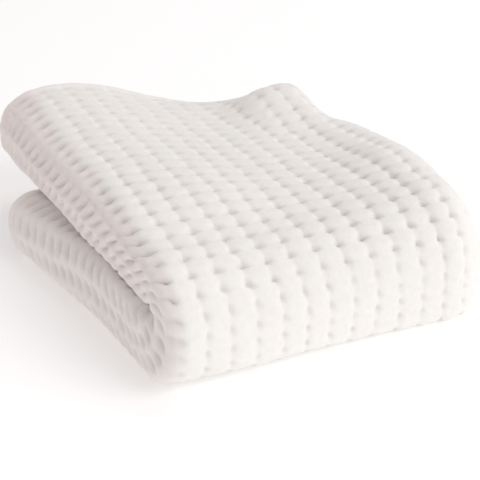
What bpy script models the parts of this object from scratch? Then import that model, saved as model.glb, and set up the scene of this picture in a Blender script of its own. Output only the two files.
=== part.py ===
"""Folded honeycomb-weave towel: one rectangle of cloth, lying in eight layers.

The cloth is folded in half and in half again across its length, which gives a band of four
layers, and the band is then bent in half round its front. Metres, +Z up. X runs along the
front fold, Y goes back from it, and the origin is at the bottom centre of the box.
"""
import bpy
import bmesh
import numpy as np

MM = 0.001

# Cloth as cut and hemmed
CLOTH_THICKNESS = 3.5 * MM
HALF_THICKNESS = CLOTH_THICKNESS / 2

# Height of the four layers on either side of the parting between the upper and the lower
# half, as a share of the way from the parting to the outermost layer
LAYER_OUT = 1.0
LAYER_SECOND = 0.70
LAYER_THIRD = 0.41
LAYER_IN = 0.115

# Front bend, for the innermost and the outermost layer: where the turn starts, how far
# forward of that it reaches, how far its middle lies below the parting, and how square it is
# above
BEND_START = (16.5 * MM, 24.5 * MM)
BEND_REACH = (2.8 * MM, 25.1 * MM)
BEND_DROP = (0 * MM, 4 * MM)
BEND_SQUARE = 2.0

# Columns of the tables across the towel, and rows behind the front
TABLE_X = np.array([-66, -54, -38, -20, 0, 20, 40, 50, 58, 68]) * MM
TABLE_Y = np.array([24, 45, 70, 90, 105, 120, 135, 153]) * MM

# How far the front bend stands back, and how square its outermost layer is near the ground,
# a column for each x
FRONT_BACK = np.array([-2.5, -2.6, -2, -1.2, -0.3, -0.2, -1.0, -1.4, 1.9, 16]) * MM
FOOT_SQUARE = np.array([2.6, 2.8, 3.4, 4.2, 5.5, 8, 12, 14, 14, 8])

# Height of the top, a row for each y and a column for each x
TOP_HEIGHT = np.array([
    [42, 43.0, 41.5, 39.0, 38.5, 39.5, 42.0, 43.5, 41.5, 27],
    [45, 46.5, 45.5, 43.5, 40.0, 39.5, 42.0, 44.5, 43.5, 35],
    [46, 47.5, 47.0, 44.5, 40.3, 38.5, 38.0, 40.0, 40.5, 35],
    [46, 47.5, 47.5, 44.0, 40.0, 38.0, 37.5, 39.0, 37.5, 31],
    [46, 47.5, 47.5, 44.0, 39.5, 37.0, 40.5, 41.0, 32.5, 28],
    [47, 48.0, 48.0, 44.5, 39.0, 36.0, 44.0, 43.5, 35.5, 26],
    [47, 48.5, 48.5, 44.5, 38.0, 34.5, 35.0, 36.0, 35.0, 26],
    [45, 47.3, 47.8, 44.2, 36.2, 28.5, 26.7, 27.5, 28.5, 24],
]) * MM

# Height of the parting between the halves, which sags behind the end of the lower half
PARTING_HEIGHT = np.array([
    [23.5, 23.5, 22.5, 21.5, 21, 21, 21, 21.0, 21, 20],
    [24, 24, 22.5, 21.5, 21, 21, 21, 21.0, 20, 19],
    [24.5, 24.5, 23, 22, 21, 20, 20, 20.0, 19, 18],
    [25, 24.5, 23, 21.5, 20, 19, 19, 18.5, 17, 16],
    [24.5, 23.5, 22.5, 20.5, 19, 18, 18, 17.5, 16, 15],
    [24, 22, 21, 20, 18, 17, 17, 16.5, 16, 15],
    [20, 20, 20, 18, 15, 14, 14, 14.0, 14, 13],
    [19, 18, 18, 15, 10, 9, 8, 8.0, 8, 8],
]) * MM

# How much farther the back edges lie than the lengths below, a column for each x
BACK_FARTHER = np.array([0, 1, 2, 1, -1, -2, -2, -1, -2, -3]) * MM

# Where the layers end at the back, for the innermost and the outermost
UPPER_END = (157 * MM, 151 * MM)
LOWER_END = (114 * MM, 108 * MM)

# Reach of the left rolls and of the right edges, a column for each share of the cloth's
# width: 1 is the back end of the upper half, 0 the front, -1 the end of the lower half. A roll
# is squarer where it presses on the other at the parting
REACH_AT = np.array([-1, -0.75, -0.5, -0.25, -0.1, 0, 0.1, 0.25, 0.4, 0.55, 0.7, 0.85, 1])
LEFT_REACH = np.array([-73.1, -67.8, -62.2, -59.1, -58.1, -56.6, -57.1, -58.6, -60.6, -61.6, -62.2, -62.0, -60.6]) * MM
ROLL_DEPTH = np.array([14, 12, 10, 9, 8.5, 8, 8.5, 10, 11, 12, 13, 15, 18]) * MM
ROLL_SQUARE = np.array([3, 3, 3, 3, 3, 2.6, 2.4, 2.3, 2.3, 2.3, 2.4, 2.6, 2.8])
PARTING_SQUARE = np.array([2.4, 3.2, 4, 5, 5, 4, 4.4, 4.7, 5, 4.5, 4, 4, 4])
RIGHT_REACH = np.array([59, 62, 65, 64.5, 63.5, 63.0, 62.6, 63.4, 66, 66, 62, 58, 58]) * MM

# Folds inside the rolls, measured from the reach of the outer one
INNER_ROLL_BACK = 6.5 * MM
INNER_ROLL_DEPTH = 4.5 * MM
RIGHT_FOLD_BACK = 11.0 * MM
RIGHT_FOLD_DEPTH = 4.0 * MM
INNER_EDGE_BACK = 10.0 * MM
FOLD_SQUARER = 0.7

# Mesh steps along each stretch of the cloth, and across its width: lower half, front, upper
STEPS_LAYER = 8
STEPS_TURN = 6
STEPS_OUTER_TURN = 12
STEPS_TOP_LAYER = 15
RIGHT_CROWDING = 0.15
FRONT_FROM, FRONT_TO = -0.27, 0.24
STEPS_WIDTH = (11, 18, 14)
BEND_TABLE = 200

CLOTH_COLOUR = (0.86, 0.84, 0.81, 1.0)
CLOTH_ROUGHNESS = 0.92


def smooth(at, values, x):
    """Smooth curve through the points (at, values), with level-headed slopes at each point."""
    slope = np.gradient(values, at)
    x = np.clip(x, at[0], at[-1])
    k = np.clip(np.searchsorted(at, x, side="right") - 1, 0, len(at) - 2)
    span = at[k + 1] - at[k]
    t = (x - at[k]) / span
    rise = values[k + 1] - values[k]
    start = slope[k] * span
    end = slope[k + 1] * span
    return values[k] + t * (start + t * (3 * rise - 2 * start - end + t * (start + end - 2 * rise)))


def sheet(table, x, y):
    """Smooth surface through a table with a row for each TABLE_Y, a column for each TABLE_X."""
    rows = np.stack([smooth(TABLE_X, row, x) for row in table])
    slope = np.gradient(rows, TABLE_Y, axis=0)
    y = np.clip(y, TABLE_Y[0], TABLE_Y[-1])
    k = np.clip(np.searchsorted(TABLE_Y, y, side="right") - 1, 0, len(TABLE_Y) - 2)
    span = TABLE_Y[k + 1] - TABLE_Y[k]
    t = (y - TABLE_Y[k]) / span
    pick = np.arange(len(x))
    first, last = rows[k, pick], rows[k + 1, pick]
    start, end = slope[k, pick] * span, slope[k + 1, pick] * span
    rise = last - first
    return first + t * (start + t * (3 * rise - 2 * start - end + t * (start + end - 2 * rise)))


def blend(pair, share):
    """Value between an innermost and an outermost one."""
    return pair[0] + (pair[1] - pair[0]) * share


def quarter(angle, square):
    """Point on a quarter of a rounded square, as its two shares, in a direction up to a right angle."""
    size = (np.cos(angle) ** square + np.sin(angle) ** square) ** (-1 / square)
    return np.cos(angle) * size, np.sin(angle) * size


def half_turn(t, square_below, square_above):
    """Half turn from below to above: how far out it stands and how high, as shares."""
    angle = np.pi * (t - 0.5)
    square = np.where(t < 0.5, square_below, square_above)
    out = np.abs(np.cos(angle)) ** (2 / square)
    up = np.sign(np.sin(angle)) * np.abs(np.sin(angle)) ** (2 / square)
    return out, up


def section(steps_at, share):
    """Place across the band, x and layer share, of a station along the cloth's length."""
    left = smooth(REACH_AT, LEFT_REACH, share)
    depth = smooth(REACH_AT, ROLL_DEPTH, share)
    right = smooth(REACH_AT, RIGHT_REACH, share)
    square = smooth(REACH_AT, ROLL_SQUARE, share)
    pressed = smooth(REACH_AT, PARTING_SQUARE, share)
    stretch = np.floor(steps_at).astype(int)
    t = steps_at - stretch
    inner_left = left + INNER_ROLL_BACK
    fold_right = right - RIGHT_FOLD_BACK
    edge = right - INNER_EDGE_BACK

    inside = square + FOLD_SQUARER
    fold_out, fold_up = half_turn(1 - t, inside, inside)
    roll_out, roll_up = half_turn(t, pressed, square)
    inner_start = inner_left + INNER_ROLL_DEPTH
    fold_start = fold_right - RIGHT_FOLD_DEPTH
    roll_start = left + depth

    x = np.select(
        [stretch == k for k in range(6)],
        [
            edge + (inner_start - edge) * t,
            inner_start - INNER_ROLL_DEPTH * fold_out,
            inner_start + (fold_start - inner_start) * t,
            fold_start + RIGHT_FOLD_DEPTH * fold_out,
            fold_start + (roll_start - fold_start) * t,
            roll_start - depth * roll_out,
        ],
        roll_start + (right - roll_start) * np.clip(steps_at - 6, 0, 1),
    )
    layer = np.select(
        [stretch == k for k in range(6)],
        [
            np.full_like(t, LAYER_SECOND),
            (LAYER_SECOND + LAYER_THIRD) / 2 + (LAYER_SECOND - LAYER_THIRD) / 2 * fold_up,
            np.full_like(t, LAYER_THIRD),
            (LAYER_THIRD + LAYER_IN) / 2 + (LAYER_THIRD - LAYER_IN) / 2 * fold_up,
            np.full_like(t, LAYER_IN),
            (LAYER_OUT + LAYER_IN) / 2 + (LAYER_OUT - LAYER_IN) / 2 * roll_up,
        ],
        LAYER_OUT,
    )
    return x, layer


def bend_lengths(reach, height, square):
    """Length of the quarter turn at the front from its middle on, along a table of angles."""
    angle = np.linspace(0, np.pi / 2, BEND_TABLE)
    forward, up = quarter(angle[None, :], square[:, None])
    step = np.hypot(np.diff(reach[:, None] * forward, axis=1), np.diff(height[:, None] * up, axis=1))
    return angle, np.concatenate([np.zeros((len(reach), 1)), np.cumsum(step, axis=1)], axis=1)


def run_height(x, y, layer, upper):
    """Height of a layer behind the front bend."""
    parting = sheet(PARTING_HEIGHT, x, y)
    over = parting + layer * (sheet(TOP_HEIGHT, x, y) - HALF_THICKNESS - parting)
    under = parting - layer * (parting - HALF_THICKNESS)
    return np.where(upper, over, under)


def along_band(x, layer, share):
    """Y and z of a point, from its place across the band and its share of the width."""
    upper = share >= 0
    nested = (layer - LAYER_IN) / (LAYER_OUT - LAYER_IN)
    start = blend(BEND_START, nested) + smooth(TABLE_X, FRONT_BACK, x)
    reach = blend(BEND_REACH, nested)
    foot = blend((BEND_SQUARE, smooth(TABLE_X, FOOT_SQUARE, x)), nested)
    square = np.where(upper, BEND_SQUARE, foot)
    middle = sheet(PARTING_HEIGHT, x, start) - blend(BEND_DROP, nested)
    rise = run_height(x, start, layer, upper) - middle
    angle, length = bend_lengths(reach, np.abs(rise), square)
    bend = length[:, -1]
    end = np.where(upper, blend(UPPER_END, nested), blend(LOWER_END, nested))
    end = end + smooth(TABLE_X, BACK_FARTHER, x)
    distance = np.abs(share) * (bend + end - start)

    reached = np.array([np.interp(d, row, angle) for d, row in zip(distance, length)])
    forward, up = quarter(reached, square)
    on_bend = distance < bend
    y = np.where(on_bend, start - reach * forward, start + distance - bend)
    return y, np.where(on_bend, middle + rise * up, run_height(x, y, layer, upper))


def cloth_points(steps_at, share):
    """Points of the cloth's middle surface for stations along its length and its width."""
    x, layer = section(steps_at, share)
    y, z = along_band(x, layer, share)
    return np.stack([x, y, z], axis=1)


def stations():
    """Stations along the length: whole numbers mark where a layer or a turn starts."""
    counts = [STEPS_LAYER, STEPS_TURN, STEPS_LAYER, STEPS_TURN, STEPS_LAYER, STEPS_OUTER_TURN]
    parts = [k + np.arange(n) / n for k, n in enumerate(counts)]
    top = np.linspace(0, 1, STEPS_TOP_LAYER + 1)
    crowded = top + RIGHT_CROWDING * np.sin(np.pi * top)
    return np.concatenate(parts + [len(counts) + crowded])


def width_shares():
    """Shares of the width: close together round the front bend."""
    lower = np.linspace(-1, FRONT_FROM, STEPS_WIDTH[0] + 1)
    front = np.linspace(FRONT_FROM, FRONT_TO, STEPS_WIDTH[1] + 1)
    upper = np.linspace(FRONT_TO, 1, STEPS_WIDTH[2] + 1)
    return np.concatenate([lower, front[1:], upper[1:]])


def make_cloth():
    """One open sheet on a grid, laid through the folds, then given its thickness."""
    along = stations()
    share = width_shares()
    mesh = bpy.data.meshes.new("towel")
    grid = bmesh.new()
    bmesh.ops.create_grid(grid, x_segments=len(along) - 1, y_segments=len(share) - 1, size=0.5)
    flat = np.array([vert.co[:2] for vert in grid.verts]) + 0.5
    column = np.rint(flat[:, 0] * (len(along) - 1)).astype(int)
    row = np.rint(flat[:, 1] * (len(share) - 1)).astype(int)
    points = cloth_points(along[column], share[row])
    points[:, :2] -= (points[:, :2].min(axis=0) + points[:, :2].max(axis=0)) / 2
    for vert, point in zip(grid.verts, points):
        vert.co = point
    bmesh.ops.reverse_faces(grid, faces=grid.faces)
    grid.to_mesh(mesh)
    grid.free()
    towel = bpy.data.objects.new("towel", mesh)
    thick = towel.modifiers.new("cloth thickness", "SOLIDIFY")
    thick.thickness = CLOTH_THICKNESS
    thick.offset = 0
    return towel


def cloth_material():
    material = bpy.data.materials.new("white cotton")
    material.use_nodes = True
    shader = material.node_tree.nodes["Principled BSDF"]
    shader.inputs["Base Color"].default_value = CLOTH_COLOUR
    shader.inputs["Roughness"].default_value = CLOTH_ROUGHNESS
    shader.inputs["Metallic"].default_value = 0.0
    return material


def main():
    for old in list(bpy.data.objects):
        bpy.data.objects.remove(old, do_unlink=True)
    collection = bpy.data.collections.new("folded towel")
    bpy.context.scene.collection.children.link(collection)
    towel = make_cloth()
    towel.data.materials.append(cloth_material())
    towel.data.shade_smooth()
    collection.objects.link(towel)


main()
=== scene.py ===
"""Folded honeycomb towel: one sheet of creased and hollowed cotton, laid through all its folds.

The cloth is folded in half twice, which gives a band of four layers, and the band is bent in half
round its front. The tables give the heights and the reaches of that stack. Their lengths are
millimetres in the towel's own place: x across, y back from the front fold and z up from the
surface it lies on. They become metres when a mesh is made.
"""
import math

import bpy
import numpy as np
from mathutils import Matrix, Vector


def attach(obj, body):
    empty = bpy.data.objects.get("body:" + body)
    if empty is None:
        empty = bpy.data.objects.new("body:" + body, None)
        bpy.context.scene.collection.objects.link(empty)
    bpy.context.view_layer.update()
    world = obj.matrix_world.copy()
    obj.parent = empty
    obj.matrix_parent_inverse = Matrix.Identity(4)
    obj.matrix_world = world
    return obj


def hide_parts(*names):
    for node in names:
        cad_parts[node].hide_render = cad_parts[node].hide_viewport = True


bl_info = {
    "name": "Folded honeycomb towel",
    "version": (1, 0, 0),
    "blender": (4, 5, 0),
    "location": "View3D > Sidebar > Towel",
    "description": "Builds a small cotton towel in a honeycomb weave, folded into a soft stack",
    "category": "Add Mesh",
}

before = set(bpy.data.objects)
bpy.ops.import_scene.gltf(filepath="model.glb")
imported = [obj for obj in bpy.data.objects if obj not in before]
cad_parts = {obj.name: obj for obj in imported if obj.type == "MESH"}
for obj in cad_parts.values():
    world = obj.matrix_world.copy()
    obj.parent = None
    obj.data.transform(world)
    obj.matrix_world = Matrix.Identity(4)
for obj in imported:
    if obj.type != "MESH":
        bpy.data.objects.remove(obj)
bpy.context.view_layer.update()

MM = 0.001
TOWEL = "towel"

# The middle of the towel's box, from the point where its front fold crosses x = 0
CENTRE = np.array([-3.365, 77.900, 0.0])

# Half the thickness of the solid's cloth: its outermost layers' middles lie that far inside
HALF_SOLID = 1.75

# Where the four layers of each half lie: 0 is the parting between the halves, 1 the outermost
LAYER_OUT = 1.0
LAYER_SECOND = 0.70
LAYER_THIRD = 0.41
LAYER_IN = 0.08

# The front bend of the innermost layer and of the outermost: how far behind the front it starts,
# how far it reaches forwards from there and how far its middle lies below the parting. Its
# section is a rounded square, which is an ellipse where the square's power is 2
BEND_START = (16.5, 24.5)
BEND_REACH = (2.8, 25.1)
BEND_DROP = (0, 4)
BEND_SQUARE = 2.0
BEND_SAMPLES = 65

# Columns of the tables across the towel, and rows behind the front
TABLE_X = np.array([-66, -54, -38, -20, 0, 20, 40, 50, 58, 68.0])
TABLE_Y = np.array([24, 45, 70, 90, 105, 120, 135, 153.0])

# How far the front bend stands back, and how square the cloth's foot is, for each x
FRONT_BACK = np.array([-2.5, -2.6, -2, -1.2, -0.3, -0.2, -1.0, -1.4, 1.9, 16])
FOOT_SQUARE = np.array([2.6, 2.8, 3.4, 4.2, 5.5, 8, 12, 14, 14, 8])

# Height of the top, a row for each y and a column for each x
TOP_HEIGHT = np.array([
    [42, 43.0, 41.5, 39.0, 38.5, 39.5, 42.0, 43.5, 41.5, 27],
    [45, 46.5, 45.5, 43.5, 40.0, 39.5, 42.0, 44.5, 43.5, 35],
    [46, 47.5, 47.0, 44.5, 40.3, 38.5, 38.0, 40.0, 40.5, 35],
    [46, 47.5, 47.5, 44.0, 40.0, 38.0, 37.5, 39.0, 37.5, 31],
    [46, 47.5, 47.5, 44.0, 39.5, 37.0, 40.5, 41.0, 32.5, 28],
    [47, 48.0, 48.0, 44.5, 39.0, 36.0, 44.0, 43.5, 35.5, 26],
    [47, 48.5, 48.5, 44.5, 38.0, 34.5, 35.0, 36.0, 35.0, 26],
    [45, 47.3, 47.8, 44.2, 36.2, 28.5, 26.7, 27.5, 28.5, 24],
])

# Height of the parting between the halves, which sags behind the end of the lower half
PARTING_HEIGHT = np.array([
    [23.5, 23.5, 22.5, 21.5, 21, 21, 21, 21.0, 21, 20],
    [24, 24, 22.5, 21.5, 21, 21, 21, 21.0, 20, 19],
    [24.5, 24.5, 23, 22, 21, 20, 20, 20.0, 19, 18],
    [25, 24.5, 23, 21.5, 20, 19, 19, 18.5, 17, 16],
    [24.5, 23.5, 22.5, 20.5, 19, 18, 18, 17.5, 16, 15],
    [24, 22, 21, 20, 18, 17, 17, 16.5, 16, 15],
    [20, 20, 20, 18, 15, 14, 14, 14.0, 14, 13],
    [19, 18, 18, 15, 10, 9, 8, 8.0, 8, 8],
])

# Y of the back edges of the innermost layer and the outermost, and how much farther back they
# lie for each x
UPPER_END = (157, 151)
LOWER_END = (114, 108)
BACK_FARTHER = np.array([0, 1, 2, 1, -1, -2, -2, -1, -2, -3])

# Reach of the left rolls and right edges for each share of the width: 1 is the back end of the
# upper half, 0 the front, -1 the end of the lower half. A roll is squarer at the parting
REACH_AT = np.array([-1, -0.75, -0.5, -0.25, -0.1, 0, 0.1, 0.25, 0.4, 0.55, 0.7, 0.85, 1])
LEFT_REACH = np.array([
    -73.1, -68.2, -63.2, -60.6, -59.6, -57.2, -57.1, -58.6, -60.6, -61.6, -62.2, -62.0, -60.6])
ROLL_DEPTH = np.array([14, 12, 10, 7.5, 6.5, 6, 6.5, 8.5, 11, 12, 13, 15, 18])
ROLL_SQUARE = np.array([3, 3, 3.4, 4, 4.5, 4.5, 4, 3, 2.4, 2.3, 2.4, 2.6, 2.8])
PARTING_SQUARE = np.array([2.4, 3.2, 5, 8, 9, 8, 8, 7, 6, 4.5, 4, 4, 4])
RIGHT_REACH = np.array([59, 62, 65, 64.5, 63.5, 63.0, 62.6, 63.4, 66, 66, 62, 58, 58])

# The folds inside the stack: how far they and the inner edge lie behind the outer reaches, their
# own depths and how much squarer they are than the roll
INNER_ROLL_BACK = 6.5
INNER_ROLL_DEPTH = 4.5
RIGHT_FOLD_BACK = 11.0
RIGHT_FOLD_DEPTH = 4.0
INNER_EDGE_BACK = 10.0
FOLD_SQUARER = 0.7

# The cloth laid flat: its length across the folded towel, its width over the top and under it,
# the place of its right edge, and where its columns begin to close up towards that edge
CLOTH_LENGTH = 504.0
UPPER_LENGTH = 161.3
LOWER_LENGTH = 121.0
RIGHT_EDGE = 66.5
EVEN_UP_TO = 34.0

# Where one column and one row of hollows lie
COLUMN_OFFSET = -1.45
ROW_OFFSET = 2.8

# How far the rows are shifted along the cloth, in cells, at these rows
ROW_SHIFT_AT = np.array([-16, -8, -3, 1, 5, 9, 15, 21, 26.0])
ROW_SHIFT = np.array([0.25, 0.25, 0.22, -0.2, -0.32, -0.42, -0.5, -0.58, -0.6])

# Where the vertices of one cell lie across and along it, crowded towards its hollow, how far left
# they go on, and how near to an edge of the cloth the last of them may lie
ACROSS_CELL = np.array([-0.5, -0.34, -0.21, -0.10, 0, 0.10, 0.21, 0.34])
ALONG_CELL = np.array([-0.41, -0.16, -0.03, 0.10, 0.26, 0.43])
FINE_TO = -104.0
EDGE_GAP = 0.6

# Stretches of the folded band from the inside out
SECOND_LAYER, INNER_TURN, THIRD_LAYER, RIGHT_FOLD, INNER_LAYER, OUTER_TURN = range(6)

# Samples of a row's walk on each stretch from the outside in, and the columns of vertices hidden
# in the stack: towards the fold at the right, round it, back, round the inner turn, to the end
WALK = (
    (OUTER_TURN, 240), (INNER_LAYER, 90), (RIGHT_FOLD, 40),
    (THIRD_LAYER, 60), (INNER_TURN, 40), (SECOND_LAYER, 60),
)
HIDDEN_COLUMNS = (6, 7, 6, 7, 5)

# A hollow's middle lies behind a crossing, in cells, and the hollow reaches forwards and backwards
# from there, in half cells. It narrows backwards by its taper and widens forwards as far as this
# share of its back reach. In its middle a share of it is flat
PIT_BEHIND = 0.14
PIT_FRONT_REACH = 0.36
PIT_BACK_REACH = 0.80
PIT_TAPER = 0.45
PIT_WIDEST = -0.5
PIT_FLAT = 0.1

# The reach of the creases to each side, in half cells, and a faint wide dip between two columns
COLUMN_REACH = 0.45
COLUMN_DIP = 0.03
ROW_REACH = 0.42

# On the front face: the rows that count as standing and the rows over which that fades, how much
# farther a hollow reaches forwards, how much narrower and fainter the weave is, and how much less
# painted shade its hollows get, as the light reaches into them there
STANDING_TO = 0.5
STANDING_FADE = 3
STANDING_REACH = 0.45
STANDING_NARROWER = 0.4
STANDING_ROW_FAINTER = 0.8
STANDING_LESS_PAINTED_SHADE = 0.75

# The oval on a roll: the powers of its outline across, along and in all, its flat share, the
# width of its rim and what is left of the hollow in it
BOWL_ACROSS_POWER = 3.2
BOWL_ALONG_POWER = 2.2
BOWL_POWER = 2.4
BOWL_FLAT = 0.15
BOWL_RIM = 0.78
BOWL_PIT = 0.08

# Painted shade in the hollows' colour: the share of it that follows the depth, and an oval's
# strength
PAINTED_SHADE_BY_DEPTH = 0.4
BOWL_PAINTED_SHADE = 1.5

# How far down the roll the weave is relief and over what length that fades, and the same for
# where hollows open to ovals
SEEN_TO = 42
SEEN_FADE = 14
OPEN_FROM = 1
OPEN_FADE = 9

# How deep the weave is, for each row: flatter where the cloth is bent and at its ends. The rolls
# have one depth, less in the rows near the front, and a painted shade tint, pinker and darker, that
# grows over the same rows from its strength at the front by what the back has more
DEPTH_AT = np.array([-16, -3, -1, 1, 3, 8, 13, 19, 26.0])
DEPTH_SHARE = np.array([0.32, 0.35, 0.36, 0.42, 0.80, 0.95, 0.82, 0.62, 0.36])
ROLL_DEPTH_SHARE = 0.95
FRONT_ROLL_FLATTER = 0.35
FRONT_ROLL_ROWS = 6
FRONT_ROLL_SHADE_TINT = 0.6
BACK_ROLL_MORE_SHADE_TINT = 0.6

# The hump at the back right, where the weave is stretched flatter
HUMP_ACROSS, HUMP_ACROSS_SPREAD = 42, 16
HUMP_ALONG, HUMP_ALONG_SPREAD = 122, 18
HUMP_FLATTER = 0.5

# Hems: their widths at the back and at the right, the lengths over which the weave fades out
# there, the strength it keeps on a back hem, what the left of the upper one keeps more and how
# far from the left that goes, and the share of the ridges' height by which hems are raised
HEM_WIDTH = 4.0
EDGE_WIDTH = 3.0
HEM_FADE = 2.5
EDGE_FADE = 3
END_FADE = 1.5
HEM_WEAVE = 0.25
LEFT_HEM_WEAVE = 0.5
LEFT_HEM_TO = 5
LEFT_HEM_FADE = 25
HEM_LIFT = 0.2

# Thickness of the cloth under the weave, at its hems and plain inside the stack, the length over
# which it grows to a hem's, and the least height of its underside above the floor
BASE_THICKNESS = 1.0
HEM_THICKNESS = 2.4
INSIDE_THICKNESS = 2.7
HEM_STEP = 1.5
FLOOR_GAP = 0.05

# Height of the slow unevenness, and the length from the front over which it grows
WANDER = 0.25
WANDER_FADE = 20

# Seeds of the cells' own changes of depth and place, and the size of their table
DEPTH_SEED, ACROSS_SEED, ALONG_SEED = 5, 6, 7
TABLE_CELLS = 128

# The cotton's colour: the most that each tint takes over, the rolls' and the hollows' tints being
# painted shade, and the level where specks begin
ROLL_SHADE_TINT = 0.8
HOLLOW_SHADE_TINT = 0.8
PATCH_TINT = 0.35
SPECK_TINT = 0.85
SPECK_FROM = 0.38

# The cells in a metre of the cotton's noises, and the parts that make up its fine relief
PATCH_SCALE = 60
SPECK_SCALE = 420
TWIST_SCALE = 900
YARN_PART = 0.12
TWIST_PART = 0.5
FIBRE_PART = 0.8

# Heights in metres of the fine relief, and of the weave as a bump inside the stack
FINE_HEIGHT = 0.0003
HIDDEN_HEIGHT = 0.002

# The stage in metres: half the floor's side, and each soft light's place, aim and side
FLOOR_HALF = 6.0
FLOOR_COLOUR = (0.93, 0.93, 0.93, 1)
ROOM_COLOUR = (1.0, 0.955, 0.95, 1)
LIGHTS = {
    "key": ((0.78, -1.02, 0.90), (0, 0, 0.02), 1.1),
    "fill": ((-1.3, -0.55, 0.30), (0, 0, 0.02), 0.5),
    "top": ((0.7, 0.5, 1.9), (0, 0.1, 0), 1.6),
}

# Camera in the towel's own place: where it stands, its heading from +Y towards +X and its tilt
CAMERA_PLACE = (-189.15, -309.68, 243.62)
CAMERA_HEADING = math.radians(26.675)
CAMERA_TILT = math.radians(29.0)
CAMERA_LENS = 97.5
CAMERA_SENSOR = 36.0
CAMERA_NEAR = 0.01


def fade(distance, width):
    """Smooth step from 0 at an edge to 1 a width away from it."""
    t = np.clip(distance / width, 0, 1)
    return t * t * (3 - 2 * t)


def blend(pair, share):
    """Straight change from the first of a pair to the second as the share goes from 0 to 1."""
    return pair[0] + (pair[1] - pair[0]) * share


def between(high, low, up):
    """Straight change from low where up is -1 to high where it is 1."""
    return (high + low) / 2 + (high - low) / 2 * up


def cubic(t, first, last, start, end):
    """Cubic from first to last as t goes from 0 to 1, with its slopes at the start and end."""
    rise = last - first
    bend = 3 * rise - 2 * start - end
    return first + t * (start + t * (bend + t * (start + end - 2 * rise)))


def smooth(at, values, x):
    """Smooth curve through the points (at, values): cubic between them, with mean slopes."""
    slope = np.gradient(values, at)
    x = np.clip(x, at[0], at[-1])
    k = np.clip(np.searchsorted(at, x, side="right") - 1, 0, len(at) - 2)
    span = at[k + 1] - at[k]
    return cubic((x - at[k]) / span, values[k], values[k + 1], slope[k] * span, slope[k + 1] * span)


def sheet(table, x, y):
    """Smooth surface through a table with a row for each TABLE_Y and a column for each TABLE_X.

    Each row is a smooth curve in x, and a smooth curve in y goes through the rows' values.
    """
    shape = np.broadcast(x, y).shape
    x, y = np.broadcast_to(x, shape).ravel(), np.broadcast_to(y, shape).ravel()
    rows = np.stack([smooth(TABLE_X, row, x) for row in table])
    slope = np.gradient(rows, TABLE_Y, axis=0)
    y = np.clip(y, TABLE_Y[0], TABLE_Y[-1])
    k = np.clip(np.searchsorted(TABLE_Y, y, side="right") - 1, 0, len(TABLE_Y) - 2)
    span = TABLE_Y[k + 1] - TABLE_Y[k]
    point = np.arange(len(x))
    height = cubic((y - TABLE_Y[k]) / span, rows[k, point], rows[k + 1, point],
                   slope[k, point] * span, slope[k + 1, point] * span)
    return height.reshape(shape)


def half_turn(t, square_below, square_above):
    """Half turn from below to above as t goes from 0 to 1: how far out it stands and how high.

    Both are shares of the turn's size: the cosine and the sine of its angle, each to the power
    of 2 over the squareness, so that a squareness of 2 is a half circle and more is squarer.
    """
    angle = np.pi * (t - 0.5)
    square = np.where(t < 0.5, square_below, square_above)
    out = np.abs(np.cos(angle)) ** (2 / square)
    up = np.sign(np.sin(angle)) * np.abs(np.sin(angle)) ** (2 / square)
    return out, up


def run_height(x, y, layer, upper):
    """Height of a layer behind the front bend: its share of the way from the parting outwards."""
    parting = sheet(PARTING_HEIGHT, x, y)
    over = parting + layer * (sheet(TOP_HEIGHT, x, y) - HALF_SOLID - parting)
    under = parting - layer * (parting - HALF_SOLID)
    return np.where(upper, over, under)


def lengths_so_far(step):
    """Sums of the steps along the last axis, with a 0 in front for the first point."""
    return np.concatenate([np.zeros(step.shape[:-1] + (1,)), np.cumsum(step, axis=-1)], axis=-1)


def bend_table(reach, rise, square):
    """Quarter of a rounded square in even directions: its two shares, and its length so far.

    A direction's point is as far out as makes its two shares, each to the power of the
    squareness, add up to 1.
    """
    turn = np.linspace(0, np.pi / 2, BEND_SAMPLES)
    power = square[..., None]
    size = (np.cos(turn) ** power + np.sin(turn) ** power) ** (-1 / power)
    forward, up = np.cos(turn) * size, np.sin(turn) * size
    step = np.hypot(np.diff(reach[..., None] * forward), np.diff(rise[..., None] * up))
    return forward, up, lengths_so_far(step)


def entry(table, k):
    """Each point's own entry k of its row in a table."""
    return np.take_along_axis(table, k, -1)[..., 0]


def along_band(x, layer, share):
    """Y and z of points at x in a layer, a share of the way from the front to the cloth's ends.

    A point's share of its layer's whole length is walked first round the front bend, a quarter
    of a rounded square above and another below, and then straight back on the layer's height.
    """
    upper = share >= 0
    nested = (layer - LAYER_IN) / (LAYER_OUT - LAYER_IN)
    start = blend(BEND_START, nested) + smooth(TABLE_X, FRONT_BACK, x)
    reach = blend(BEND_REACH, nested)
    foot = blend((BEND_SQUARE, smooth(TABLE_X, FOOT_SQUARE, x)), nested)
    square = np.where(upper, BEND_SQUARE, foot)
    middle = sheet(PARTING_HEIGHT, x, start) - blend(BEND_DROP, nested)
    rise = run_height(x, start, layer, upper) - middle
    forward, up, length = bend_table(reach, np.abs(rise), square)
    bend = length[..., -1]
    end = np.where(upper, blend(UPPER_END, nested), blend(LOWER_END, nested))
    end = end + smooth(TABLE_X, BACK_FARTHER, x)
    distance = np.abs(share) * (bend + end - start)

    passed = np.sum(length <= distance[..., None], axis=-1)
    k = np.clip(passed - 1, 0, length.shape[-1] - 2)[..., None]
    low, high = entry(length, k), entry(length, k + 1)
    t = np.clip((distance - low) / (high - low), 0, 1)
    forward, up = (entry(part, k) * (1 - t) + entry(part, k + 1) * t for part in (forward, up))
    on_bend = distance < bend
    y = np.where(on_bend, start - reach * forward, start + distance - bend)
    z = np.where(on_bend, middle + rise * up, run_height(x, y, layer, upper))
    return y, z


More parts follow.
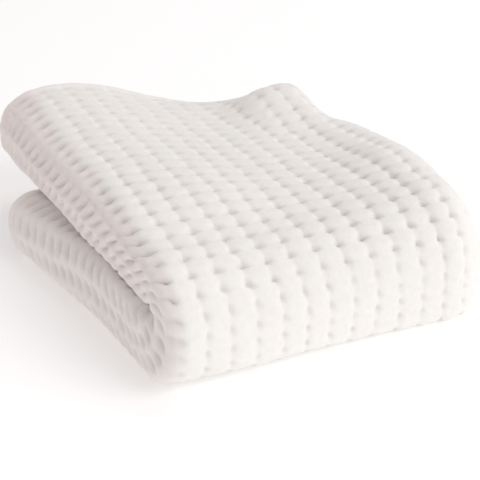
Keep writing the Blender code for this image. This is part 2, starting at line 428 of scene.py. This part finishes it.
def band_section(stretch, t, share):
    """X and layer share of points on one of the band's stretches, each walked as t goes 0 to 1.

    From the inside out they are: second layer, inner turn at the left, third layer, fold at the
    right, innermost layer, outer turn at the left. A layer runs straight, and a turn is half a
    rounded square between two layers.
    """
    left = smooth(REACH_AT, LEFT_REACH, share)
    depth = smooth(REACH_AT, ROLL_DEPTH, share)
    right = smooth(REACH_AT, RIGHT_REACH, share)
    square = smooth(REACH_AT, ROLL_SQUARE, share)
    inner_start = left + INNER_ROLL_BACK + INNER_ROLL_DEPTH
    fold_start = right - RIGHT_FOLD_BACK - RIGHT_FOLD_DEPTH
    roll_start = left + depth
    edge = right - INNER_EDGE_BACK
    if stretch == SECOND_LAYER:
        return edge + (inner_start - edge) * t, np.full_like(t, LAYER_SECOND)
    if stretch == THIRD_LAYER:
        return inner_start + (fold_start - inner_start) * t, np.full_like(t, LAYER_THIRD)
    if stretch == INNER_LAYER:
        return fold_start + (roll_start - fold_start) * t, np.full_like(t, LAYER_IN)
    if stretch == OUTER_TURN:
        out, up = half_turn(t, smooth(REACH_AT, PARTING_SQUARE, share), square)
        return roll_start - depth * out, between(LAYER_OUT, LAYER_IN, up)
    out, up = half_turn(1 - t, square + FOLD_SQUARER, square + FOLD_SQUARER)
    if stretch == INNER_TURN:
        return inner_start - INNER_ROLL_DEPTH * out, between(LAYER_SECOND, LAYER_THIRD, up)
    return fold_start + RIGHT_FOLD_DEPTH * out, between(LAYER_THIRD, LAYER_IN, up)


def row_stations():
    """Rows of vertices, as millimetres from the front and as cells: each cell's, then both ends.

    The cells are as long as each other, apart from a slow shift where the cloth was pulled. The
    first and the last cell lie past the cloth's ends, so that the shift leaves none out.
    """
    pitch = towel_sizes().cell_along / MM
    first = math.floor((-LOWER_LENGTH - ROW_OFFSET) / pitch) - 2
    last = math.ceil((UPPER_LENGTH - ROW_OFFSET) / pitch) + 3
    cells = (np.arange(first, last + 1)[:, None] + ALONG_CELL[None, :]).ravel()
    rows = ROW_OFFSET + pitch * (cells + smooth(ROW_SHIFT_AT, ROW_SHIFT, cells))
    kept = (rows > -LOWER_LENGTH + EDGE_GAP) & (rows < UPPER_LENGTH - EDGE_GAP)
    ends = np.array([-LOWER_LENGTH, UPPER_LENGTH])
    end_cells = np.interp(ends, rows, cells)
    rows = np.concatenate([ends[:1], rows[kept], ends[1:]])
    return rows, np.concatenate([end_cells[:1], cells[kept], end_cells[1:]])


def column_stations():
    """Columns of vertices from the right edge leftwards, as distances along the cloth."""
    pitch = towel_sizes().cell_across / MM
    first = math.floor(FINE_TO / pitch) - 1
    last = math.ceil(RIGHT_EDGE / pitch) + 1
    cells = (np.arange(first, last + 1)[:, None] + ACROSS_CELL[None, :]).ravel()
    columns = COLUMN_OFFSET + cells * pitch
    columns = columns[(columns >= FINE_TO) & (columns < RIGHT_EDGE - EDGE_GAP)]
    return np.concatenate([[RIGHT_EDGE], columns[::-1]])


def walk_inwards(share):
    """X and layer of each row from the end of the top layer inwards, with the lengths so far."""
    sections = []
    for stretch, count in WALK:
        t = np.broadcast_to(1 - np.arange(count)[None, :] / count, (len(share), count))
        sections.append(band_section(stretch, t, share[:, None]))
    sections.append(band_section(SECOND_LAYER, np.zeros((len(share), 1)), share[:, None]))
    x, layer = (np.concatenate(part, axis=1) for part in zip(*sections))
    y, z = along_band(x, layer, np.broadcast_to(share[:, None], x.shape))
    step = np.sqrt(np.diff(x) ** 2 + np.diff(y) ** 2 + np.diff(z) ** 2)
    return x, layer, lengths_so_far(step)


def cloth_grid():
    """Middle surface of the cloth as rows by columns, with how far each column is along it.

    On the top layer a column keeps its x, and only near the right edge do columns close up as
    that edge draws in. Down the roll and inside it a column keeps its length along the cloth,
    and the hidden columns share out what is left of each row, stretch by stretch.
    """
    rows, row_cells = row_stations()
    columns = column_stations()
    share = np.where(rows >= 0, rows / UPPER_LENGTH, rows / LOWER_LENGTH)
    roll_start = smooth(REACH_AT, LEFT_REACH, share) + smooth(REACH_AT, ROLL_DEPTH, share)
    right = smooth(REACH_AT, RIGHT_REACH, share)

    walk_x, walk_layer, length = walk_inwards(share)
    fine_end = roll_start - columns[-1]
    stretch_ends = length[:, np.cumsum([count for _, count in WALK])[1:]]
    marks = np.concatenate([fine_end[:, None], stretch_ends], axis=1)
    gaps = np.diff(marks, axis=1)
    hidden = np.concatenate(
        [marks[:, k, None] + gaps[:, k, None] * np.linspace(0, 1, count + 1)[None, 1:]
         for k, count in enumerate(HIDDEN_COLUMNS)],
        axis=1,
    )
    inside = np.concatenate([roll_start[:, None] - columns[None, :], hidden], axis=1)
    rest = (hidden - fine_end[:, None]) / (length[:, -1] - fine_end)[:, None]
    cloth_at = np.concatenate(
        [np.broadcast_to(columns, (len(rows), len(columns))),
         columns[-1] - (CLOTH_LENGTH - RIGHT_EDGE + columns[-1]) * rest],
        axis=1,
    )
    top_x = cloth_at + (right - RIGHT_EDGE)[:, None] * fade(
        cloth_at - EVEN_UP_TO, RIGHT_EDGE - EVEN_UP_TO)
    walked_x, walked_layer = (
        np.stack([np.interp(*row) for row in zip(inside, length, walk)])
        for walk in (walk_x, walk_layer)
    )
    on_top = inside <= 0
    x = np.where(on_top, top_x, walked_x)
    layer = np.where(on_top, LAYER_OUT, walked_layer)
    y, z = along_band(x, layer, np.broadcast_to(share[:, None], x.shape))
    return np.stack([x, y, z], axis=-1), rows, row_cells, cloth_at, inside


def outward(points):
    """Unit normals of a grid of points, from the differences along its rows and columns."""
    down = np.gradient(points, axis=0)
    over = np.gradient(points, axis=1)
    normal = np.cross(down, over)
    return normal / np.linalg.norm(normal, axis=-1, keepdims=True)


def wander(across, along):
    """Slow unevenness of hand-folded cloth: a sum of three long waves in both directions.

    Each wave is its share of the height times a sine, whose angle is each distance over a length
    in millimetres, and a start. The first wave's crests bend to and fro by a wave of their own.
    """
    return WANDER * (
        0.5 * np.sin(across / 17.0 + 0.7 * np.sin(along / 31.0) + 1.1)
        + 0.3 * np.sin(along / 13.0 - across / 29.0 + 2.3)
        + 0.2 * np.sin(across / 7.3 + along / 9.1)
    )


def uneven_cells(across, along, seed):
    """Random numbers from -1 to 1 at the whole cells, with a smooth change from one to the next."""
    table = np.random.default_rng(seed).uniform(-1, 1, (TABLE_CELLS, TABLE_CELLS))
    column, row = np.floor(across).astype(int), np.floor(along).astype(int)
    s, t = fade(across - column, 1), fade(along - row, 1)
    left, right = column % TABLE_CELLS, (column + 1) % TABLE_CELLS
    front, back = row % TABLE_CELLS, (row + 1) % TABLE_CELLS
    near = table[front, left] * (1 - s) + table[front, right] * s
    far = table[back, left] * (1 - s) + table[back, right] * s
    return near * (1 - t) + far * t


def cell_relief(across, along, opened, standing):
    """Height of the weave, from 1 on its puffs to 0 in the middle of a hollow, and its shade.

    Across and along count cells, and a crease runs along every whole number: each column's is
    soft and each row's is a fine line. A hollow opens behind every crossing, between the front
    corners of two puffs. It is an ellipse that is longer behind its middle than in front and
    narrows backwards, and it fades from its full depth in the middle to nothing at its edge.
    Creases and hollow are taken from the height 1. Where the cloth stands, on the front face,
    hollows are longer and narrower and the rows fainter.

    Where the cloth is opened, round the rolls, that height gives way to a wide oval between thin
    ridges: across and along from its middle, each to its own power, are added, and the sum fades
    from its flat share to its rim. The shade is painted shade that darkens the hollows and ovals in
    the colour: a share of the depth, and for the rest the shape of the hollow or the oval, less of
    it where the cloth stands on the front face and the light reaches into the hollows.
    """
    size = towel_sizes()
    u = np.abs(2 * (across - np.rint(across)))
    s = 2 * (along - np.rint(along))
    behind = s - 2 * PIT_BEHIND
    reach = np.where(behind < 0, PIT_FRONT_REACH + STANDING_REACH * standing, PIT_BACK_REACH)
    taper = 1 - PIT_TAPER * np.clip(behind / PIT_BACK_REACH, PIT_WIDEST, 1)
    width = size.pit_across * (1 - STANDING_NARROWER * standing) * taper
    pit = 1 - fade(np.hypot(u / width, behind / reach) - PIT_FLAT, 1 - PIT_FLAT)
    column = (1 - fade(u, COLUMN_REACH)) * size.column_part + COLUMN_DIP * (1 - u) ** 2
    row = (1 - fade(np.abs(s), ROW_REACH)) * size.row_part * (1 - STANDING_ROW_FAINTER * standing)
    flat = 1 - column - row - size.pit_part * pit

    w = np.abs(2 * (along - PIT_BEHIND - np.rint(along - PIT_BEHIND)))
    from_middle = (u ** BOWL_ACROSS_POWER + w ** BOWL_ALONG_POWER) ** (1 / BOWL_POWER)
    bowl = 1 - fade(from_middle - BOWL_FLAT, BOWL_RIM)
    wide = 1 - size.bowl_part * bowl - BOWL_PIT * pit
    relief = blend((flat, wide), opened)
    # Painted shade: the hollow's or the oval's own shape, less where the cloth stands and the light
    # reaches in
    shape = blend((pit * (1 - STANDING_LESS_PAINTED_SHADE * standing), BOWL_PAINTED_SHADE * bowl), opened)
    return relief, PAINTED_SHADE_BY_DEPTH * (1 - relief) + (1 - PAINTED_SHADE_BY_DEPTH) * shape


def weave_strength(cloth_at, along_cloth, hem, side, seen):
    """Share of the weave that is left: all of it inside the hems, and none at the very edges.

    A back hem keeps a part of it, more at the left of the upper half.
    """
    left = (1 - fade(cloth_at - LEFT_HEM_TO, LEFT_HEM_FADE)) * fade(along_cloth, 1)
    on_hem = HEM_WEAVE + LEFT_HEM_WEAVE * left
    off_hem = on_hem + (1 - on_hem) * fade(hem - HEM_WIDTH, HEM_FADE)
    return off_hem * fade(side - EDGE_WIDTH, EDGE_FADE) * fade(hem, END_FADE) * seen


def weave_depth(cloth_at, along_cloth, along, opened):
    """Share of the weave's depth: the table's for each row, less on the hump, one on the rolls.

    The hump's share falls off from its middle as a bell curve in both directions.
    """
    hump = np.exp(-((cloth_at - HUMP_ACROSS) / HUMP_ACROSS_SPREAD) ** 2
                  - ((along_cloth - HUMP_ALONG) / HUMP_ALONG_SPREAD) ** 2)
    level = smooth(DEPTH_AT, DEPTH_SHARE, along) * (1 - HUMP_FLATTER * hump)
    front = 1 - fade(along, FRONT_ROLL_ROWS)
    return blend((level, ROLL_DEPTH_SHARE * (1 - FRONT_ROLL_FLATTER * front)), opened)


def cloth_thickness(hem, side, seen):
    """Thickness of the cloth: thin under the weave, thicker inside the stack and at the hems."""
    inner = np.minimum(hem - HEM_WIDTH, side - EDGE_WIDTH)
    hemmed = 1 - fade(inner + HEM_STEP, HEM_STEP)
    thickness = blend((BASE_THICKNESS, INSIDE_THICKNESS), 1 - seen)
    return blend((thickness, HEM_THICKNESS), hemmed)


def grid_mesh(name, points, maps, values):
    """Mesh of quads over a grid of points, with UV maps of pairs and attributes of values."""
    rows, columns = points.shape[:2]
    index = np.arange(rows * columns).reshape(rows, columns)
    corners = [index[:-1, :-1], index[:-1, 1:], index[1:, 1:], index[1:, :-1]]
    quads = np.stack(corners, axis=-1).reshape(-1, 4)
    mesh = bpy.data.meshes.new(name)
    mesh.vertices.add(rows * columns)
    mesh.vertices.foreach_set("co", points.astype(np.float32).ravel())
    mesh.loops.add(quads.size)
    mesh.loops.foreach_set("vertex_index", quads.astype(np.int32).ravel())
    mesh.polygons.add(len(quads))
    mesh.polygons.foreach_set("loop_start", np.arange(0, quads.size, 4, dtype=np.int32))
    mesh.polygons.foreach_set("loop_total", np.full(len(quads), 4, dtype=np.int32))
    mesh.update(calc_edges=True)
    for label, pairs in maps.items():
        uv = mesh.uv_layers.new(name=label)
        uv.data.foreach_set("uv", pairs.reshape(-1, 2)[quads.ravel()].astype(np.float32).ravel())
    for label, value in values.items():
        attribute = mesh.attributes.new(label, "FLOAT", "POINT")
        attribute.data.foreach_set("value", value.astype(np.float32).ravel())
    mesh.shade_smooth()
    return mesh


def thicken(cloth, thickness):
    """Give a sheet its thickness at each vertex, half of it to each side, by a vertex group."""
    group = cloth.vertex_groups.new(name="full thickness")
    weight = np.round(thickness / INSIDE_THICKNESS, 2).ravel()
    for level in np.unique(weight):
        group.add(np.nonzero(weight == level)[0].tolist(), float(level), "REPLACE")
    thick = cloth.modifiers.new("cloth thickness", "SOLIDIFY")
    thick.thickness = INSIDE_THICKNESS * MM
    thick.offset = 0
    thick.vertex_group = group.name


def build_cloth():
    """The towel's one sheet: the folded middle surface, raised and hollowed by its weave.

    Each point moves along its normal by the ridges' height less its own depth, times the weave's
    strength, and by the slow unevenness. No underside goes below the floor's gap.
    """
    size = towel_sizes()
    points, rows, row_cells, cloth_at, inside = cloth_grid()
    along_cloth = np.broadcast_to(rows[:, None], cloth_at.shape)
    along = np.broadcast_to(row_cells[:, None], cloth_at.shape)
    across = (cloth_at - COLUMN_OFFSET) / (size.cell_across / MM)
    hem = np.minimum(UPPER_LENGTH - along_cloth, along_cloth + LOWER_LENGTH)
    side = np.minimum(RIGHT_EDGE - cloth_at, cloth_at + CLOTH_LENGTH - RIGHT_EDGE)
    seen = 1 - fade(inside - SEEN_TO, SEEN_FADE)
    opened = fade(inside - OPEN_FROM, OPEN_FADE)
    strength = weave_strength(cloth_at, along_cloth, hem, side, seen)

    pulled = size.pull * strength
    relief, shade = cell_relief(
        across + pulled * uneven_cells(across + 0.5, along + 0.5, ACROSS_SEED),
        along + pulled * uneven_cells(across + 0.5, along + 0.5, ALONG_SEED),
        opened,
        1 - fade(along - STANDING_TO, STANDING_FADE),
    )
    uneven = 1 + size.unevenness * uneven_cells(across, along, DEPTH_SEED)
    share = uneven * weave_depth(cloth_at, along_cloth, along, opened)
    ridge = size.ridge_height / MM
    lift = strength * (ridge - size.hollow_depth / MM * (1 - relief) * share)
    lift = lift + (seen - strength) * HEM_LIFT * ridge
    lift = lift + wander(cloth_at, along_cloth) * fade(along_cloth, WANDER_FADE)
    points = points + outward(points) * lift[..., None]
    thickness = cloth_thickness(hem, side, seen)
    points[..., 2] = np.maximum(points[..., 2], thickness / 2 + FLOOR_GAP)

    maps = {
        "flat": np.stack([cloth_at, along_cloth], axis=-1) * MM,
        "cells": np.stack([across, along], axis=-1),
    }
    # Painted shade on the shaded rolls: its share grows from the front rows backwards
    roll_shade_share = FRONT_ROLL_SHADE_TINT + BACK_ROLL_MORE_SHADE_TINT * fade(along, FRONT_ROLL_ROWS)
    # bend carries the rolls' painted shade tint, and hollow the painted shade in the hollows and
    # ovals
    values = {"bend": opened * seen * roll_shade_share, "plain": 1 - seen, "hollow": strength * shade}
    mesh = grid_mesh("towel cloth", (points - CENTRE) * MM, maps, values)
    cloth = bpy.data.objects.new("towel_cloth", mesh)
    bpy.context.scene.collection.objects.link(cloth)
    thicken(cloth, thickness)
    return cloth


class Nodes:
    """Short hand for making and joining shader nodes."""

    def __init__(self, material):
        material.use_nodes = True
        self.tree = material.node_tree
        self.shader = self.tree.nodes["Principled BSDF"]

    def new(self, kind, **settings):
        """New node of a kind, with its own settings."""
        node = self.tree.nodes.new("ShaderNode" + kind)
        for name, value in settings.items():
            setattr(node, name, value)
        return node

    def set(self, socket, value):
        """Join another node's output to a socket, or give the socket a value of its own."""
        if isinstance(value, bpy.types.NodeSocket):
            self.tree.links.new(value, socket)
        else:
            socket.default_value = value

    def fill(self, node, values):
        """Set a node's named inputs."""
        for name, value in values.items():
            self.set(node.inputs[name], value)

    def math(self, operation, first, second=0.0):
        """Result of an operation on one value or two."""
        node = self.new("Math", operation=operation)
        self.set(node.inputs[0], first)
        self.set(node.inputs[1], second)
        return node.outputs[0]

    def mix(self, factor, first, second):
        """Colour between two others. The node's sockets for colours are numbered 6, 7 and 2."""
        node = self.new("Mix", data_type="RGBA")
        self.set(node.inputs["Factor"], factor)
        self.set(node.inputs[6], first)
        self.set(node.inputs[7], second)
        return node.outputs[2]

    def noise(self, vector, scale, detail, roughness=0.5):
        """Noise from 0 to 1 with so many cells in a metre."""
        node = self.new("TexNoise")
        self.fill(node, {
            "Vector": vector, "Scale": scale, "Detail": detail, "Roughness": roughness})
        return node.outputs["Fac"]

    def attribute(self, name):
        """Value that the mesh holds at each point."""
        return self.new("Attribute", attribute_name=name).outputs["Fac"]

    def from_crease(self, cells):
        """Distance from the nearest whole number, from 0 to 0.5."""
        place = self.math("FRACT", self.math("ADD", cells, 0.5))
        return self.math("ABSOLUTE", self.math("SUBTRACT", place, 0.5))

    def total(self, parts):
        """Sum of values, each times its part."""
        terms = [self.math("MULTIPLY", value, part) for value, part in parts]
        result = terms[0]
        for term in terms[1:]:
            result = self.math("ADD", result, term)
        return result


def cotton_material():
    """White cotton: its tints, its fine relief and a soft sheen.

    The ridges' colour goes to the rolls' painted shade, pinker and darker, by the bend attribute
    and to the hollows' painted shade by the hollow attribute, then towards the patches' by slow
    noise and the specks' by fine noise. The fine relief adds yarns, the twist of the yarn and loose
    fibre.
    each crossing: a sine of the farther of the two distances from it. Inside the stack, where the
    plain attribute is 1, that distance is a bump too and stands for the weave.
    """
    look = bpy.context.scene.towel_look
    material = bpy.data.materials.new("honeycomb cotton")
    n = Nodes(material)
    place = n.new("TexCoord").outputs["Object"]

    # Painted shade: the rolls' pinker, darker tint where the cloth turns away from the light
    colour = n.mix(n.math("MULTIPLY", n.attribute("bend"), ROLL_SHADE_TINT),
                   (*look.ridge_colour, 1), (*look.roll_shade_colour, 1))
    # Painted shade in the hollows and ovals
    colour = n.mix(n.math("MULTIPLY", n.attribute("hollow"), HOLLOW_SHADE_TINT),
                   colour, (*look.hollow_shade_colour, 1))
    colour = n.mix(n.math("MULTIPLY", n.noise(place, PATCH_SCALE, 3), PATCH_TINT),
                   colour, (*look.patch_colour, 1))
    speck = n.math("SUBTRACT", n.noise(place, SPECK_SCALE, 3), SPECK_FROM)
    colour = n.mix(n.math("MULTIPLY", speck, SPECK_TINT), colour, (*look.speck_colour, 1))

    split = n.new("SeparateXYZ")
    n.set(split.inputs[0], n.new("UVMap", uv_map="cells").outputs[0])
    from_crossing = n.math(
        "MAXIMUM", n.from_crease(split.outputs[0]), n.from_crease(split.outputs[1]))
    ring = n.math("MULTIPLY", from_crossing, 2 * look.yarns_per_side)
    yarn = n.math("ABSOLUTE", n.math("SINE", n.math("MULTIPLY", ring, math.pi)))
    twist = n.noise(n.new("UVMap", uv_map="flat").outputs[0], TWIST_SCALE, 2)
    fibre = n.noise(place, 1 / look.fibre_size, 4, 0.65)

    weave = n.new("Bump")
    n.fill(weave, {
        "Strength": 1.0,
        "Distance": HIDDEN_HEIGHT,
        "Height": n.math("MULTIPLY", from_crossing, n.attribute("plain")),
    })
    fine = n.new("Bump")
    n.fill(fine, {
        "Strength": look.yarn_bump,
        "Distance": FINE_HEIGHT,
        "Height": n.total([(yarn, YARN_PART), (twist, TWIST_PART), (fibre, FIBRE_PART)]),
        "Normal": weave.outputs[0],
    })
    n.fill(n.shader, {
        "Base Color": colour,
        "Normal": fine.outputs[0],
        "Roughness": 0.93,
        "Specular IOR Level": 0.2,
        "Sheen Weight": 0.25,
        "Sheen Roughness": 0.5,
        "Subsurface Weight": look.softness,
        "Subsurface Radius": (0.0022, 0.0019, 0.0016),
        "Subsurface Scale": 1.0,
    })
    return material


def floor_material():
    """Plain white board that gives off a little light of its own."""
    material = bpy.data.materials.new("white floor")
    n = Nodes(material)
    n.fill(n.shader, {
        "Base Color": FLOOR_COLOUR,
        "Roughness": 0.8,
        "Specular IOR Level": 0.1,
        "Emission Color": (1, 1, 1, 1),
        "Emission Strength": bpy.context.scene.towel_stage.floor_glow,
    })
    return material


def make_floor():
    """Flat square under the towel, with its middle at the origin."""
    half = FLOOR_HALF
    corners = [(-half, -half, 0), (half, -half, 0), (half, half, 0), (-half, half, 0)]
    mesh = bpy.data.meshes.new("floor")
    mesh.from_pydata(corners, [], [(0, 1, 2, 3)])
    floor = bpy.data.objects.new("floor", mesh)
    floor.data.materials.append(floor_material())
    bpy.context.scene.collection.objects.link(floor)


def add_area(name, place, aim, side, power):
    """Square soft light at a place, turned to a point."""
    light = bpy.data.lights.new(name, "AREA")
    light.size = side
    light.energy = power
    lamp = bpy.data.objects.new(name, light)
    lamp.location = place
    lamp.rotation_euler = (Vector(aim) - Vector(place)).to_track_quat("-Z", "Y").to_euler()
    bpy.context.scene.collection.objects.link(lamp)


def make_lights():
    """The soft lights, and an even light all round."""
    stage = bpy.context.scene.towel_stage
    powers = {"key": stage.key_power, "fill": stage.fill_power, "top": stage.top_power}
    for name, (place, aim, side) in LIGHTS.items():
        add_area(name, place, aim, side, powers[name])
    world = bpy.data.worlds.new("soft white room")
    world.use_nodes = True
    background = world.node_tree.nodes["Background"]
    background.inputs["Color"].default_value = ROOM_COLOUR
    background.inputs["Strength"].default_value = stage.sky_power
    bpy.context.scene.world = world
    bpy.context.scene.view_settings.view_transform = "Standard"


def make_camera():
    """Camera that looks along its heading, tilted down, with its top edge level."""
    data = bpy.data.cameras.new("camera")
    data.lens = CAMERA_LENS
    data.sensor_width = CAMERA_SENSOR
    data.clip_start = CAMERA_NEAR
    camera = bpy.data.objects.new("camera", data)
    bpy.context.scene.collection.objects.link(camera)
    ahead, aside = math.cos(CAMERA_HEADING), math.sin(CAMERA_HEADING)
    level, down = math.cos(CAMERA_TILT), math.sin(CAMERA_TILT)
    forward = Vector((aside * level, ahead * level, -down))
    right = Vector((ahead, -aside, 0))
    up = right.cross(forward)
    turn = Matrix((right, up, -forward)).transposed().to_4x4()
    turn.translation = Vector((np.array(CAMERA_PLACE) - CENTRE) * MM)
    camera.matrix_world = turn
    bpy.context.scene.camera = camera


class TowelSizes(bpy.types.PropertyGroup):
    """Sizes of the weave."""
    cell_across: bpy.props.FloatProperty(
        name="Cell across", description="Width of one cell", default=0.009, unit="LENGTH")
    cell_along: bpy.props.FloatProperty(
        name="Cell along", description="Length of one cell", default=0.00649, unit="LENGTH")
    ridge_height: bpy.props.FloatProperty(
        name="Ridge height", description="Height of the puffs over the middle of the cloth",
        default=0.00125, unit="LENGTH")
    hollow_depth: bpy.props.FloatProperty(
        name="Hollow depth", description="Depth that the shares below are shares of",
        default=0.0033, unit="LENGTH")
    column_part: bpy.props.FloatProperty(
        name="Column crease", description="Share of the depth between two columns",
        default=0.15, min=0, max=1, subtype="FACTOR")
    row_part: bpy.props.FloatProperty(
        name="Row crease", description="Share of the depth between two rows",
        default=0.055, min=0, max=1, subtype="FACTOR")
    pit_across: bpy.props.FloatProperty(
        name="Hollow's width", description="Width of a hollow as a share of its cell's",
        default=0.68, min=0, max=1, subtype="FACTOR")
    pit_part: bpy.props.FloatProperty(
        name="Hollow", description="Share of the depth in a hollow",
        default=0.75, min=0, max=1, subtype="FACTOR")
    bowl_part: bpy.props.FloatProperty(
        name="Oval", description="Share of the depth in an oval on the rolls",
        default=0.72, min=0, max=1, subtype="FACTOR")
    pull: bpy.props.FloatProperty(
        name="Pull", description="Farthest that a crossing is pulled, as a share of a cell",
        default=0.10, min=0, max=1, subtype="FACTOR")
    unevenness: bpy.props.FloatProperty(
        name="Unevenness", description="Most that a cell's depth differs, as a share of it",
        default=0.26, min=0, max=1, subtype="FACTOR")


class TowelLook(bpy.types.PropertyGroup):
    """Colours and fine relief of the cotton."""
    ridge_colour: bpy.props.FloatVectorProperty(
        name="Puffs", description="Colour of the raised cloth",
        default=(0.925, 0.908, 0.867), subtype="COLOR")
    # Painted shade deep in the hollows and ovals, darker and pinker than the cloth
    hollow_shade_colour: bpy.props.FloatVectorProperty(
        name="Hollows", description="Colour deep in the hollows",
        default=(0.77, 0.71, 0.675), subtype="COLOR")
    # Painted shade of the rolls' shaded side, pinker and darker than the cloth
    roll_shade_colour: bpy.props.FloatVectorProperty(
        name="Rolls", description="Colour of the cloth round the rolls",
        default=(0.885, 0.785, 0.77), subtype="COLOR")
    patch_colour: bpy.props.FloatVectorProperty(
        name="Patches", description="Colour of the slow changes of tint",
        default=(0.91, 0.87, 0.85), subtype="COLOR")
    speck_colour: bpy.props.FloatVectorProperty(
        name="Specks", description="Colour of the fine changes of tint",
        default=(0.80, 0.76, 0.73), subtype="COLOR")
    yarns_per_side: bpy.props.FloatProperty(
        name="Yarns", description="Yarns between a crossing and the middle of a puff", default=6)
    yarn_bump: bpy.props.FloatProperty(
        name="Yarn bump", description="Strength of the fine relief",
        default=0.3, min=0, max=1, subtype="FACTOR")
    fibre_size: bpy.props.FloatProperty(
        name="Fibre size", description="Size of the loose fibre", default=0.0012, unit="LENGTH")
    softness: bpy.props.FloatProperty(
        name="Softness", description="Share of the light that is carried inside the cloth",
        default=0.3, min=0, max=1, subtype="FACTOR")


class TowelStage(bpy.types.PropertyGroup):
    """Strength of the lights."""
    floor_glow: bpy.props.FloatProperty(
        name="Floor glow", description="Strength of the board's own light", default=0.22)
    key_power: bpy.props.FloatProperty(
        name="Key light", description="Power of the light at the front right",
        default=10.5, unit="POWER")
    fill_power: bpy.props.FloatProperty(
        name="Fill light", description="Power of the low light at the left",
        default=1.12, unit="POWER")
    top_power: bpy.props.FloatProperty(
        name="Top light", description="Power of the light above", default=7.7, unit="POWER")
    sky_power: bpy.props.FloatProperty(
        name="Sky", description="Strength of the light all round", default=0.52)


def towel_sizes():
    """The sizes that the scene holds."""
    return bpy.context.scene.towel_sizes


class TOWEL_OT_cloth(bpy.types.Operator):
    """Make the folded cloth in place of its plain solid"""
    bl_idname = "towel.cloth"
    bl_label = "Folded cloth"

    def execute(self, context):
        cloth = build_cloth()
        cloth.data.materials.append(cotton_material())
        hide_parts(TOWEL)
        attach(cloth, "root")
        return {"FINISHED"}


class TOWEL_OT_stage(bpy.types.Operator):
    """Make the floor, the lights and the camera"""
    bl_idname = "towel.stage"
    bl_label = "Stage"

    def execute(self, context):
        make_floor()
        make_lights()
        make_camera()
        return {"FINISHED"}


class TOWEL_PT_panel(bpy.types.Panel):
    """Sizes, colours and lights, and the two operators"""
    bl_label = "Towel"
    bl_idname = "TOWEL_PT_panel"
    bl_space_type = "VIEW_3D"
    bl_region_type = "UI"
    bl_category = "Towel"

    def draw(self, context):
        scene = context.scene
        for group in (scene.towel_sizes, scene.towel_look, scene.towel_stage):
            for name in group.__annotations__:
                self.layout.prop(group, name)
        self.layout.operator(TOWEL_OT_cloth.bl_idname)
        self.layout.operator(TOWEL_OT_stage.bl_idname)


CLASSES = (TowelSizes, TowelLook, TowelStage, TOWEL_OT_cloth, TOWEL_OT_stage, TOWEL_PT_panel)


def register():
    for cls in CLASSES:
        bpy.utils.register_class(cls)
    bpy.types.Scene.towel_sizes = bpy.props.PointerProperty(type=TowelSizes)
    bpy.types.Scene.towel_look = bpy.props.PointerProperty(type=TowelLook)
    bpy.types.Scene.towel_stage = bpy.props.PointerProperty(type=TowelStage)


def unregister():
    del bpy.types.Scene.towel_sizes
    del bpy.types.Scene.towel_look
    del bpy.types.Scene.towel_stage
    for cls in reversed(CLASSES):
        bpy.utils.unregister_class(cls)


def main():
    register()
    bpy.ops.towel.cloth()
    bpy.ops.towel.stage()


if __name__ == "__main__":
    main()
